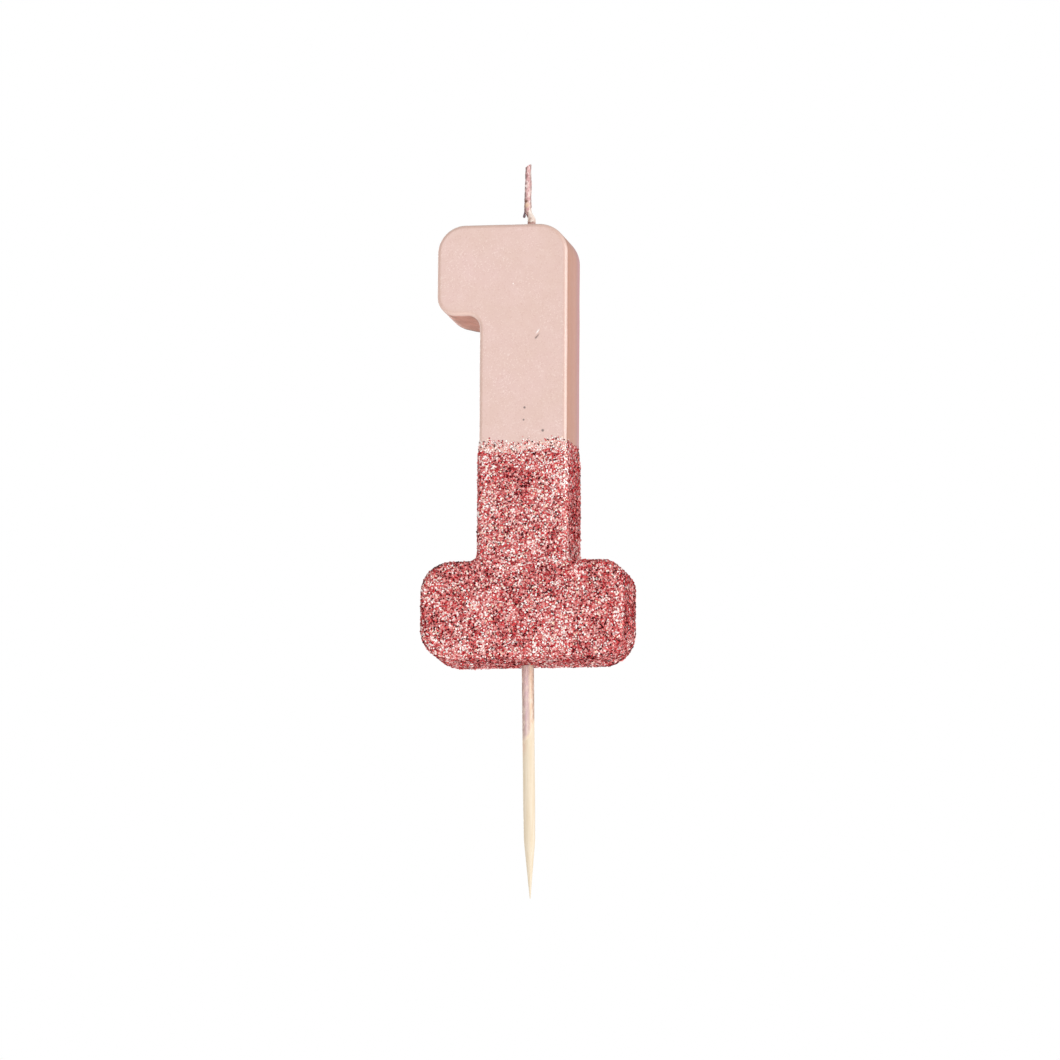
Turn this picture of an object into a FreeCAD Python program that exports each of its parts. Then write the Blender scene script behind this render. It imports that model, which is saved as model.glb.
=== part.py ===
import FreeCAD, Part
import os

import Sketcher
from FreeCAD import Rotation, Vector

# Number birthday candle, the numeral one, on a wooden pick. Millimetres, +Z up.
# The origin is on the pick's axis, in the plane of the candle's glittered underside,
# which is the plane that rests on the cake. The numeral faces -Y and reads left to
# right along +X.
#
# A wax numeral is cast round its wick and pushed onto a double-pointed pick, the whole
# is dipped in pearl lacquer, and the lower half gets a film of glue and a coat of
# glitter. The layers are shells that lie on each other, each grown from one outline.

# ---------------------------------------------------------------- driving dimensions
SIZES = {
    # the numeral, measured over its lacquer and without its glitter
    "numeral_height": 74.3,
    "numeral_depth": 13.5,
    "stem_width": 15.1,
    "stem_shift": 0.05,  # the stem's middle from the pick's axis
    "head_width": 22.45,  # the flag's left end to the stem's right side
    "flag_height": 15.6,
    "base_width": 34.4,
    "base_height": 16.1,
    # its corners, seen from the front: each was rubbed by hand to a radius of its own
    "crown_left_radius": 4.8,
    "crown_right_radius": 5.0,
    "flag_tip_radius": 3.3,
    "flag_throat_radius": 2.1,
    "shoulder_left_radius": 5.0,
    "shoulder_right_radius": 3.6,
    "throat_left_radius": 1.7,
    "throat_right_radius": 1.4,
    "sole_left_radius": 4.9,
    "sole_right_radius": 5.2,
    "front_edge_radius": 0.75,
    "back_edge_radius": 0.5,
    # its layers
    "lacquer_skin": 0.12,
    "glue_skin": 0.1,
    "glitter_skin": 0.25,
    "glitter_line": 37.5,  # the height that the glitter reaches
    # the pick, pointed at both ends
    "pick_length": 57.1,  # its straight shank ends at the candle's underside
    "pick_below": 40.1,  # how far it hangs below the candle
    "shank_radius": 1.035,
    "shoulder_radius": 0.965,  # where the long taper meets the point
    "taper_length": 7.1,
    "point_length": 9.9,
    "tip_radius": 0.06,
    "socket_clearance": 0.03,
    "pick_skin": 0.02,  # the lacquer on it
    "pick_skin_length": 14.0,  # on the left side, where it ran down furthest
    "pick_skin_slant": 70.0,  # its lower edge climbs this steeply to the right, in degrees
    # the wick
    "wick_radius": 0.62,
    "wick_skin": 0.06,  # the lacquer on it
    "wick_shift": 0.28,  # where it leaves the wax, from the pick's axis
    "wick_stand": -0.37,  # where its upright length stands
    "wick_height": 11.6,  # above the numeral
    "wick_lean": 26.0,  # of its foot, in degrees
    "wick_bend_radius": 2.5,
    "wick_depth": 46.0,  # inside the wax
    "wick_stub": 1.5,  # how far the cast length stands out of the wax, in its collar
    "wick_gap": 0.03,  # between its two lengths, which bend on each other here
    "wick_skin_start": 3.1,  # above the numeral
    "tip_slope": 25.0,  # of its cut end, in degrees
    "bead_radius": 0.24,  # the drop of lacquer on its left side
    "bead_height": 2.5,
    "run_radius": 0.14,  # the run above the drop
    "run_length": 2.4,  # up from the bead, until it lies on the sleeve
    "collar_outer_radius": 0.86,  # at its foot
    "collar_height": 1.5,
}

# Heights that several pieces share, above the underside.
CAST_FOOT = "(Sizes.glue_skin + Sizes.glitter_skin)"
CAST_TOP = f"({CAST_FOOT} + Sizes.numeral_height)"
FOOT_HEIGHT = f"({CAST_TOP} + Sizes.wick_stub + Sizes.wick_gap + Sizes.wick_radius)"

# How far each layer's outer face lies outside the lacquered numeral.
GROWTH = {
    "wax": "(-Sizes.lacquer_skin)",
    "lacquer": "0",
    "glue": "Sizes.glue_skin",
    "glitter": CAST_FOOT,
}

doc = FreeCAD.newDocument("number_candle")
sheet = doc.addObject("Spreadsheet::Sheet", "Sizes")
for row, (alias, value) in enumerate(SIZES.items(), start=1):
    sheet.set(f"A{row}", alias)
    sheet.set(f"B{row}", str(value))
    sheet.setAlias(f"B{row}", alias)
doc.recompute()


# ------------------------------------------------------------------------- helpers
def bind(thing, **expressions):
    """Binds properties to the sheet. A double underscore stands for a dot."""
    for prop, text in expressions.items():
        thing.setExpression(prop.replace("__", "."), text)


def new_body(name):
    body = doc.addObject("PartDesign::Body", name)
    body.Label = name
    return body


def origin_of(body, role):
    return next(f for f in body.Origin.OriginFeatures if f.Role == role)


def new_sketch(body, name, plane):
    sketch = body.newObject("Sketcher::SketchObject", name)
    sketch.AttachmentSupport = [(origin_of(body, plane), "")]
    sketch.MapMode = "FlatFace"
    return sketch


def bind_constraint(sketch, kind, geo, pos, name, text):
    """Adds a named constraint on one point, or on a radius if pos is None, bound to text."""
    ends = (geo,) if pos is None else (geo, pos)
    if kind == "Radius":
        now = sketch.Geometry[geo].Radius
    else:
        point = sketch.getPoint(geo, pos)
        now = point.x if kind == "DistanceX" else point.y
    index = sketch.addConstraint(Sketcher.Constraint(kind, *ends, now))
    sketch.renameConstraint(index, name)
    sketch.setExpression(f"Constraints.{name}", text)


def closed_outline(sketch, corners):
    """Draws straight edges round the named corners. Each is (name, x text, z text)."""
    start, points = len(sketch.Geometry), []
    for _, x_text, z_text in corners:
        points.append(Vector(evaluate(x_text), evaluate(z_text), 0))
    count = len(points)
    for i, point in enumerate(points):
        sketch.addGeometry(Part.LineSegment(point, points[(i + 1) % count]))
    for i in range(count):
        after = (i + 1) % count
        sketch.addConstraint(Sketcher.Constraint("Coincident", start + i, 2, start + after, 1))
    for i, (name, x_text, z_text) in enumerate(corners):
        bind_constraint(sketch, "DistanceX", start + i, 1, f"{name}_x", x_text)
        bind_constraint(sketch, "DistanceY", start + i, 1, f"{name}_z", z_text)
    return points


def evaluate(text):
    """The number that an expression over the sheet has now."""
    value = sheet.evalExpression(text)
    return float(getattr(value, "Value", value))


def edge_names(shape, keep):
    return [f"Edge{i}" for i, edge in enumerate(shape.Edges, start=1) if keep(edge)]


def fillet(body, name, edges, radius):
    """Rounds edges of the body's newest feature. Recomputes, so the next one can follow."""
    if not edges:
        raise RuntimeError(f"{name} found no edge")
    feature = body.newObject("PartDesign::Fillet", name)
    feature.Base = (feature.BaseFeature, edges)
    bind(feature, Radius=radius)
    doc.recompute()
    return feature


def boolean(kind, name, base, tools):
    """One Part boolean: the base with every tool cut from it, or common to the one tool."""
    result = base
    for i, tool in enumerate(tools):
        last = i == len(tools) - 1
        step = doc.addObject(kind, name if last else f"{name}_step_{i + 1}")
        step.Base, step.Tool = result, tool
        result = step
    result.Label = name
    return result


def cut(name, base, *tools):
    return boolean("Part::Cut", name, base, tools)


# ------------------------------------------------------------- the numeral's layers
def numeral_corners(grow):
    """The numeral's corners in order, with the radius that each gets and its side."""
    base_left = f"-Sizes.base_width / 2 - {grow}"
    base_right = f"Sizes.base_width / 2 + {grow}"
    stem_left = f"Sizes.stem_shift - Sizes.stem_width / 2 - {grow}"
    stem_right = f"Sizes.stem_shift + Sizes.stem_width / 2 + {grow}"
    flag_left = f"Sizes.stem_shift + Sizes.stem_width / 2 - Sizes.head_width - {grow}"
    sole = f"{CAST_FOOT} - {grow}"
    base_top = f"{CAST_FOOT} + Sizes.base_height + {grow}"
    crown = f"{CAST_TOP} + {grow}"
    flag_under = f"{CAST_TOP} - Sizes.flag_height - {grow}"
    return [
        ("sole_left", base_left, sole, "outer"),
        ("sole_right", base_right, sole, "outer"),
        ("shoulder_right", base_right, base_top, "outer"),
        ("throat_right", stem_right, base_top, "inner"),
        ("crown_right", stem_right, crown, "outer"),
        ("crown_left", flag_left, crown, "outer"),
        ("flag_tip", flag_left, flag_under, "outer"),
        ("flag_throat", stem_left, flag_under, "inner"),
        ("throat_left", stem_left, base_top, "inner"),
        ("shoulder_left", base_left, base_top, "outer"),
    ]


def numeral(layer):
    """A solid numeral whose faces lie outside the lacquered one by the layer's growth."""
    grow = GROWTH[layer]
    corners = numeral_corners(grow)
    body = new_body(f"numeral_{layer}")
    sketch = new_sketch(body, f"{layer}_outline", "XZ_Plane")
    points = closed_outline(sketch, [corner[:3] for corner in corners])
    pad = body.newObject("PartDesign::Pad", f"{layer}_pad")
    pad.Profile = sketch
    pad.SideType = "Symmetric"
    bind(pad, Length=f"Sizes.numeral_depth + 2 * {grow}")
    doc.recompute()

    near = 1e-4
    for (name, _, _, side), at in zip(corners, points):
        edges = edge_names(
            body.Shape,
            lambda e: all(abs(v.X - at.x) < near and abs(v.Z - at.y) < near for v in e.Vertexes),
        )
        sign = "+" if side == "outer" else "-"
        fillet(body, f"{layer}_{name}", edges, f"Sizes.{name}_radius {sign} {grow}")
    half = evaluate(f"Sizes.numeral_depth / 2 + {grow}")
    for name, y in (("front_edge", -half), ("back_edge", half)):
        rim = edge_names(body.Shape, lambda e: all(abs(v.Y - y) < near for v in e.Vertexes))
        fillet(body, f"{layer}_{name}", rim, f"Sizes.{name}_radius + {grow}")
    return body


# --------------------------------------------------------------------- the pick
def spindle(name, clearance):
    """A double-pointed pick, or the space it leaves, turned about Z."""
    low_tip = "-Sizes.pick_below"
    high_tip = "(Sizes.pick_length - Sizes.pick_below)"
    reach = "Sizes.point_length"
    long_reach = "(Sizes.point_length + Sizes.taper_length)"
    tip = f"Sizes.tip_radius + {clearance}"
    shoulder = f"Sizes.shoulder_radius + {clearance}"
    shank = f"Sizes.shank_radius + {clearance}"
    body = new_body(name)
    sketch = new_sketch(body, f"{name}_profile", "XZ_Plane")
    closed_outline(
        sketch,
        [
            ("low_axis", "0", f"{low_tip} - {clearance}"),
            ("low_tip", tip, f"{low_tip} - {clearance}"),
            ("low_shoulder", shoulder, f"{low_tip} + {reach}"),
            ("low_shank", shank, f"{low_tip} + {long_reach}"),
            ("high_shank", shank, f"{high_tip} - {long_reach}"),
            ("high_shoulder", shoulder, f"{high_tip} - {reach}"),
            ("high_tip", tip, f"{high_tip} + {clearance}"),
            ("high_axis", "0", f"{high_tip} + {clearance}"),
        ],
    )
    turned = body.newObject("PartDesign::Revolution", f"{name}_turned")
    turned.Profile = sketch
    turned.ReferenceAxis = (origin_of(body, "Z_Axis"), [""])
    turned.Angle = 360
    return body


def pick_lacquer(pick):
    """The tube of lacquer on the pick below the candle, with a slanting lower edge."""
    rod = doc.addObject("Part::Cylinder", "pick_lacquer_rod")
    bind(
        rod,
        Radius="Sizes.shank_radius + Sizes.pick_skin",
        Height="Sizes.pick_skin_length",
        Placement__Base__z="-Sizes.pick_skin_length",
    )
    # A block turned about Y, its upper face running up to the right from the rod's
    # lower left edge.
    trim = doc.addObject("Part::Box", "pick_lacquer_trim")
    trim.Placement.Rotation = Rotation(Vector(0, 1, 0), 0)
    side = 30
    trim.Length, trim.Width, trim.Height = side, side, side
    steep = "Sizes.pick_skin_slant"
    bind(
        trim,
        Placement__Rotation__Angle=f"-{steep}",
        Placement__Base__x=f"-(Sizes.shank_radius + Sizes.pick_skin) + {side} * sin({steep})",
        Placement__Base__y=f"-{side} / 2",
        Placement__Base__z=f"-Sizes.pick_skin_length - {side} * cos({steep})",
    )
    return cut("pick_lacquer", rod, pick, trim)


def coat_hole():
    """The opening that the glue and the glitter leave round the lacquered pick."""
    hole = doc.addObject("Part::Cylinder", "coat_hole")
    bind(
        hole,
        Radius="Sizes.shank_radius + Sizes.pick_skin + Sizes.socket_clearance",
        Height=f"2 * {CAST_FOOT}",
        Placement__Base__z=f"-{CAST_FOOT}",
    )
    return hole


# --------------------------------------------------------------------- the wick
def bent_rod(name, radius):
    """A round rod along the wick's upper length: upright, then leaning to a round foot."""
    body = new_body(name)
    path = new_sketch(body, f"{name}_path", "XZ_Plane")
    tip_x, tip_z = "Sizes.wick_stand", f"{CAST_TOP} + Sizes.wick_height"
    foot_x, foot_z = "Sizes.wick_shift", FOOT_HEIGHT
    tip = Vector(evaluate(tip_x), evaluate(tip_z), 0)
    foot = Vector(evaluate(foot_x), evaluate(foot_z), 0)
    # A first guess at the bend, which the constraints then make exact.
    knee = Vector(tip.x, foot.y + (foot.x - tip.x) / evaluate("tan(Sizes.wick_lean)"), 0)
    arm = evaluate("Sizes.wick_bend_radius * tan(Sizes.wick_lean / 2)")
    above = knee + Vector(0, arm, 0)
    below = knee + (foot - knee).normalize() * arm
    sag = (above + below) * 0.5 - knee
    path.addGeometry(Part.LineSegment(tip, above))
    path.addGeometry(Part.Arc(above, knee + sag * 0.5, below))
    path.addGeometry(Part.LineSegment(below, foot))
    path.addConstraint(Sketcher.Constraint("Tangent", 0, 2, 1, 1))
    path.addConstraint(Sketcher.Constraint("Tangent", 1, 2, 2, 1))
    path.addConstraint(Sketcher.Constraint("Vertical", 0))
    bind_constraint(path, "DistanceX", 0, 1, "tip_x", tip_x)
    bind_constraint(path, "DistanceY", 0, 1, "tip_z", tip_z)
    bind_constraint(path, "DistanceX", 2, 2, "foot_x", foot_x)
    bind_constraint(path, "DistanceY", 2, 2, "foot_z", foot_z)
    bind_constraint(path, "Radius", 1, None, "bend", "Sizes.wick_bend_radius")
    leaning = path.addConstraint(Sketcher.Constraint("Angle", 2, evaluate("Sizes.wick_lean - 90")))
    path.renameConstraint(leaning, "lean")
    path.setExpression("Constraints.lean", "Sizes.wick_lean - 90")

    section = new_sketch(body, f"{name}_section", "XY_Plane")
    bind(section, AttachmentOffset__Base__x=tip_x, AttachmentOffset__Base__z=tip_z)
    section.addGeometry(Part.Circle(Vector(0, 0, 0), Vector(0, 0, 1), SIZES["wick_radius"]))
    section.addConstraint(Sketcher.Constraint("Coincident", 0, 3, -1, 1))
    bind_constraint(section, "Radius", 0, None, "girth", radius)
    doc.recompute()

    pipe = body.newObject("PartDesign::AdditivePipe", f"{name}_pipe")
    pipe.Profile = section
    pipe.Spine = (path, ["Edge1", "Edge2", "Edge3"])
    ball = body.newObject("PartDesign::AdditiveSphere", f"{name}_foot")
    ball.AttachmentSupport = [(origin_of(body, "XY_Plane"), "")]
    ball.MapMode = "FlatFace"
    bind(ball, Radius=radius, AttachmentOffset__Base__x=foot_x, AttachmentOffset__Base__z=foot_z)
    doc.recompute()
    return body


def tip_trim():
    """The block that cuts the wick's end off on a slope, highest just right of the lacquer."""
    side = 6
    pivot = "Sizes.wick_stand + Sizes.wick_radius + 2 * Sizes.wick_skin"
    trim = doc.addObject("Part::Box", "tip_trim")
    trim.Placement.Rotation = Rotation(Vector(0, 1, 0), 0)
    trim.Length, trim.Width, trim.Height = side, side, side
    slope, reach = "Sizes.tip_slope", f"{side} / 2"
    bind(
        trim,
        Placement__Rotation__Angle=f"-{slope}",
        Placement__Base__x=f"{pivot} - {reach} * cos({slope})",
        Placement__Base__y=f"-{reach}",
        Placement__Base__z=f"{CAST_TOP} + Sizes.wick_height - {reach} * sin({slope})",
    )
    return trim


def wick_channel(name, above="0"):
    """The wick's straight length in the wax, or the hole it fills, ending above the numeral."""
    rod = doc.addObject("Part::Cylinder", name)
    rod.Label = name
    bind(
        rod,
        Radius="Sizes.wick_radius",
        Height=f"Sizes.wick_depth + {above}",
        Placement__Base__x="Sizes.wick_shift",
        Placement__Base__z=f"{CAST_TOP} - Sizes.wick_depth",
    )
    return rod


def wick_lacquer(wick, trim):
    """The sleeve of lacquer on the wick, with the drop that dried at its lower left."""
    coat = bent_rod("wick_coat", "(Sizes.wick_radius + Sizes.wick_skin)")
    side = 10
    foot_trim = doc.addObject("Part::Box", "wick_foot_trim")
    foot_trim.Length, foot_trim.Width, foot_trim.Height = side, side, side
    foot_trim.Placement.Base = Vector(-side / 2, -side / 2, 0)
    bind(foot_trim, Placement__Base__z=f"{CAST_TOP} + Sizes.wick_skin_start - {side}")
    sleeve = cut("wick_sleeve", coat, foot_trim)
    bead = doc.addObject("Part::Sphere", "wick_bead")
    run = doc.addObject("Part::Cylinder", "wick_run")
    bind(bead, Radius="Sizes.bead_radius")
    bind(run, Radius="Sizes.run_radius", Height="Sizes.run_length")
    for piece in (bead, run):
        bind(
            piece,
            Placement__Base__x="Sizes.wick_stand - Sizes.wick_radius - Sizes.wick_skin",
            Placement__Base__z=f"{CAST_TOP} + Sizes.bead_height",
        )
    drop = doc.addObject("Part::Fuse", "wick_drop")
    drop.Base, drop.Tool = bead, run
    both = doc.addObject("Part::Fuse", "wick_sleeve_and_drop")
    both.Base, both.Tool = sleeve, drop
    return cut("wick_lacquer", both, wick, trim)


def wick_collar():
    """The cone of wax and lacquer that climbed the wick's foot."""
    ring = doc.addObject("Part::Cone", "collar_ring")
    hole = doc.addObject("Part::Cylinder", "collar_hole")
    height = "Sizes.collar_height"
    bind(
        ring,
        Radius1="Sizes.collar_outer_radius",
        Radius2="(Sizes.collar_outer_radius + Sizes.wick_radius) / 2",
        Height=height,
    )
    bind(hole, Radius="Sizes.wick_radius", Height=height)
    for piece in (ring, hole):
        bind(piece, Placement__Base__x="Sizes.wick_shift", Placement__Base__z=CAST_TOP)
    return cut("wick_collar", ring, hole)


# -------------------------------------------------------------------- the assembly
wooden_pick = spindle("wooden_pick", "0")
socket = spindle("pick_socket", "Sizes.socket_clearance")
channel = wick_channel("wick_hole")
mouth = coat_hole()
layers = {layer: numeral(layer) for layer in GROWTH}

dip = doc.addObject("Part::Box", "glitter_reach")
for side, size in (("Length", "base_width"), ("Width", "numeral_depth")):
    bind(dip, **{side: f"2 * Sizes.{size}"})
bind(
    dip,
    Height="2 * Sizes.glitter_line",
    Placement__Base__x="-Sizes.base_width",
    Placement__Base__y="-Sizes.numeral_depth",
    Placement__Base__z="-Sizes.glitter_line",
)
dipped_glue = boolean("Part::Common", "dipped_glue", layers["glue"], [dip])
dipped_glitter = boolean("Part::Common", "dipped_glitter", layers["glitter"], [dip])

wick_trim = tip_trim()
bare_wick = bent_rod("bare_wick", "Sizes.wick_radius")
exposed_wick = cut("exposed_wick", bare_wick, wick_trim)

SUB_PARTS = [
    wooden_pick,
    pick_lacquer(wooden_pick),
    cut("wax_numeral", layers["wax"], socket, channel),
    cut("lacquer_coat", layers["lacquer"], layers["wax"], socket, channel),
    cut("glue_film", dipped_glue, layers["lacquer"], mouth),
    cut("glitter_coat", dipped_glitter, layers["glue"], mouth),
    wick_channel("buried_wick", "Sizes.wick_stub"),
    wick_collar(),
    exposed_wick,
    wick_lacquer(bare_wick, wick_trim),
]
doc.recompute()

# ------------------------------------------------------------------ check and write
failed = [o.Name for o in doc.Objects if {"Invalid", "Error"} & set(o.State)]
if failed:
    raise RuntimeError(f"these objects failed: {failed}")
for part in SUB_PARTS:
    shape = part.Shape
    if shape.isNull() or not shape.isValid() or shape.Volume <= 0:
        raise RuntimeError(f"{part.Label} has no valid shape")
    if len(shape.Solids) != 1:
        raise RuntimeError(f"{part.Label} has {len(shape.Solids)} solids")

os.makedirs("parts", exist_ok=True)
for part in SUB_PARTS:
    part.Shape.exportStep(f"parts/{part.Label}.step")
    box = part.Shape.BoundBox
    print(f"{part.Label}: {part.Shape.Volume:.2f} mm3, z {box.ZMin:.2f} to {box.ZMax:.2f}")
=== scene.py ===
import math

import bpy
import numpy as np
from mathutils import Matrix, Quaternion, Vector, noise
from mathutils.geometry import delaunay_2d_cdt


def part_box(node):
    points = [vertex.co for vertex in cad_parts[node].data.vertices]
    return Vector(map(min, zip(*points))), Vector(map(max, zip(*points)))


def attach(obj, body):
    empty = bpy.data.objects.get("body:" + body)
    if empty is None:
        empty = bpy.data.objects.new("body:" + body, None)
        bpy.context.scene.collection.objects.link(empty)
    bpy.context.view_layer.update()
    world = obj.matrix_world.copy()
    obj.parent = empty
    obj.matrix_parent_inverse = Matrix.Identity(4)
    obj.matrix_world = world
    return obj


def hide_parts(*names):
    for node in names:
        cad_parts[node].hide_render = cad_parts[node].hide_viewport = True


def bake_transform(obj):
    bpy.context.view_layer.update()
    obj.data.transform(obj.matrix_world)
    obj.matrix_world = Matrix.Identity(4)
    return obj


# A rose-gold number candle on its pick: pearl lacquer above, glitter below.
# Lengths are in millimetres until a mesh is made, which is in metres.
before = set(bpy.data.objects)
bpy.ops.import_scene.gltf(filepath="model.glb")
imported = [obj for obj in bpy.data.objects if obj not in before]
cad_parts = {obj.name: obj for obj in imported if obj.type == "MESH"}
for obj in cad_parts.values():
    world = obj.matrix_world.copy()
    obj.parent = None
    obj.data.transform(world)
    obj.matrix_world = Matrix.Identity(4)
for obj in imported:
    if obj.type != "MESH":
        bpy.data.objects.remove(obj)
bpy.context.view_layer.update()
MM = 0.001
rng = np.random.default_rng(20)


def node_box(name):
    """A CAD node's lowest and highest corner in millimetres."""
    low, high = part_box(name)
    return np.array(low) / MM, np.array(high) / MM


# ------------------------------------------------------------------ sizes of the parts
NUMERAL_LOW, NUMERAL_HIGH = node_box("lacquer_coat")
BASE_TOP = NUMERAL_LOW[2] + 16.1
FLAG_UNDER = NUMERAL_HIGH[2] - 15.6
STEM_LEFT, STEM_RIGHT, FLAG_LEFT = -7.5, 7.6, -14.85
HALF_DEPTH = NUMERAL_HIGH[1]
FRONT_EDGE, BACK_EDGE = 0.75, 0.5
LACQUER, GLUE = 0.12, 0.1
GLITTER_LINE = node_box("glitter_coat")[1][2]
SHANK, PICK_SKIN, CLEARANCE = 1.035, 0.02, 0.03
WICK_RADIUS = 0.62
WICK_FOOT = np.array([0.28, 0.0, NUMERAL_HIGH[2]])
WICK_STAND, WICK_LEAN = -0.37, math.radians(26)
COLLAR_LOW, COLLAR_HIGH = node_box("wick_collar")
WICK_START, WICK_TIP = (corner[2] for corner in node_box("exposed_wick"))
WICK_HINGE = WICK_START + WICK_RADIUS
SOCKET = SHANK + CLEARANCE

# The numeral's corners from the front, anticlockwise: x, z, radius, and 1 where the
# corner is an outer one or -1 where it is an inner one.
CORNERS = [
    (NUMERAL_LOW[0], NUMERAL_LOW[2], 4.9, 1),
    (NUMERAL_HIGH[0], NUMERAL_LOW[2], 5.2, 1),
    (NUMERAL_HIGH[0], BASE_TOP, 3.6, 1),
    (STEM_RIGHT, BASE_TOP, 1.4, -1),
    (STEM_RIGHT, NUMERAL_HIGH[2], 5.0, 1),
    (FLAG_LEFT, NUMERAL_HIGH[2], 4.8, 1),
    (FLAG_LEFT, FLAG_UNDER, 3.3, 1),
    (STEM_LEFT, FLAG_UNDER, 2.1, -1),
    (STEM_LEFT, BASE_TOP, 1.7, -1),
    (NUMERAL_LOW[0], BASE_TOP, 5.0, 1),
]


# ------------------------------------------------------------------------ noise
def noise_at(points, size, seed):
    """Perlin noise from about -1 to 1 at points in millimetres, with features of that size."""
    shift = Vector((seed * 17.3, seed * 5.1, seed * 9.7))
    return np.array([noise.noise(Vector(p) / size + shift) for p in points])


def smoothstep(x, low, high):
    """0 below low and 1 above high, with a smooth rise between."""
    t = np.clip((x - low) / (high - low), 0, 1)
    return t * t * (3 - 2 * t)


# --------------------------------------------------------------------- mesh making
SIDES = 48
turns = np.arange(SIDES) / SIDES * 2 * math.pi
circle = np.stack([np.cos(turns), np.sin(turns), np.zeros(SIDES)], axis=1)


def new_piece(name, verts, faces):
    """A smooth mesh object from millimetre vertices."""
    mesh = bpy.data.meshes.new(name)
    mesh.from_pydata((np.asarray(verts) * MM).tolist(), [], faces)
    mesh.validate(clean_customdata=False)
    mesh.shade_smooth()
    mesh.update()
    piece = bpy.data.objects.new(name, mesh)
    bpy.context.scene.collection.objects.link(piece)
    return piece


def add_attribute(piece, name, values):
    """A number or a vector at every vertex, which the materials read by name."""
    values = np.asarray(values, np.float32)
    kind, key = ("FLOAT", "value") if values.ndim == 1 else ("FLOAT_VECTOR", "vector")
    attribute = piece.data.attributes.new(name, kind, "POINT")
    attribute.data.foreach_set(key, values.ravel())


def close_tube(name, outer, inner=None):
    """A closed mesh from rings: a rod with flat ends, or a sleeve when there is an inside."""
    sides = outer.shape[1]
    loops = outer if inner is None else np.concatenate([outer, inner[::-1]])
    verts = loops.reshape(-1, 3)
    rows = len(loops)
    faces = []
    last = rows if inner is not None else rows - 1
    for r in range(last):
        for k in range(sides):
            a, b = r * sides + k, r * sides + (k + 1) % sides
            c, d = (a + sides) % (rows * sides), (b + sides) % (rows * sides)
            faces.append([a, b, d, c])
    if inner is None:
        faces.append(list(range(sides))[::-1])
        faces.append([(rows - 1) * sides + k for k in range(sides)])
    return new_piece(name, verts, faces)


# ----------------------------------------------------------- the numeral's surface
# How finely the outline is cut along its corners and its straight edges, and how many
# steps the rim takes over the front edge, across the depth and over the back edge.
CORNER_STEP, EDGE_STEP = 0.42, 0.45
FRONT_STEPS, DEPTH_STEPS, BACK_STEPS = 8, 24, 6
FLAT_REACH = 3.4  # half the size of the squares round the sole's and the crown's holes


def outline():
    """Points round the numeral and their outward normals, both as (x, z)."""
    points, normals, ends = [], [], []
    count = len(CORNERS)
    for i, (x, z, radius, side) in enumerate(CORNERS):
        here = np.array([x, z])
        before = here - np.array(CORNERS[i - 1][:2])
        after = np.array(CORNERS[(i + 1) % count][:2]) - here
        before, after = before / np.linalg.norm(before), after / np.linalg.norm(after)
        ends.append((here - before * radius, here + after * radius, before, after, radius, side))
    for i, (start, end, before, after, radius, side) in enumerate(ends):
        out = np.array([before[1], -before[0]])  # the outward normal of the edge before
        centre = start - side * out * radius
        steps = max(6, math.ceil(radius * math.pi / 2 / CORNER_STEP))
        for k in range(steps + 1):
            turn = k / steps * math.pi / 2
            normal = out * math.cos(turn) + side * before * math.sin(turn)
            points.append(centre + side * normal * radius)
            normals.append(normal)
        goal = ends[(i + 1) % count][0]
        length = np.linalg.norm(goal - end)
        steps = max(1, math.ceil(length / EDGE_STEP))
        for k in range(1, steps):
            points.append(end + (goal - end) * k / steps)
            normals.append(np.array([after[1], -after[0]]))
    return np.array(points), np.array(normals)


def profile():
    """Steps round the rim from the front face to the back: inset, y, how far the normal
    points outward and how far along y, and how near the step is to an edge's middle."""
    steps = []
    for k in range(FRONT_STEPS + 1):
        turn = k / FRONT_STEPS * math.pi / 2
        inset = FRONT_EDGE * (1 - math.sin(turn))
        y = -HALF_DEPTH + FRONT_EDGE * (1 - math.cos(turn))
        steps.append((inset, y, math.sin(turn), -math.cos(turn), math.sin(2 * turn)))
    low, high = -HALF_DEPTH + FRONT_EDGE, HALF_DEPTH - BACK_EDGE
    for k in range(1, DEPTH_STEPS):
        steps.append((0, low + (high - low) * k / DEPTH_STEPS, 1, 0, 0))
    for k in range(BACK_STEPS + 1):
        turn = k / BACK_STEPS * math.pi / 2
        inset = BACK_EDGE * (1 - math.cos(turn))
        y = HALF_DEPTH - BACK_EDGE * (1 - math.sin(turn))
        steps.append((inset, y, math.cos(turn), math.sin(turn), math.sin(2 * turn)))
    return steps


def inside(points, polygon):
    """Which (n, 2) points are inside the polygon."""
    hit = np.zeros(len(points), bool)
    x, y = points[:, 0], points[:, 1]
    for (x0, y0), (x1, y1) in zip(polygon, np.roll(polygon, -1, axis=0)):
        if y0 == y1:
            continue
        cross = (y0 > y) != (y1 > y)
        hit ^= cross & (x < (x1 - x0) * (y - y0) / (y1 - y0) + x0)
    return hit


def distance_to(points, polygon):
    """How far each (n, 2) point is from the polygon's line."""
    best = np.full(len(points), 1e9)
    for a, b in zip(polygon, np.roll(polygon, -1, axis=0)):
        d = b - a
        t = np.clip(((points - a) @ d) / max(d @ d, 1e-12), 0, 1)
        best = np.minimum(best, np.linalg.norm(points - a - t[:, None] * d, axis=1))
    return best


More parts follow.
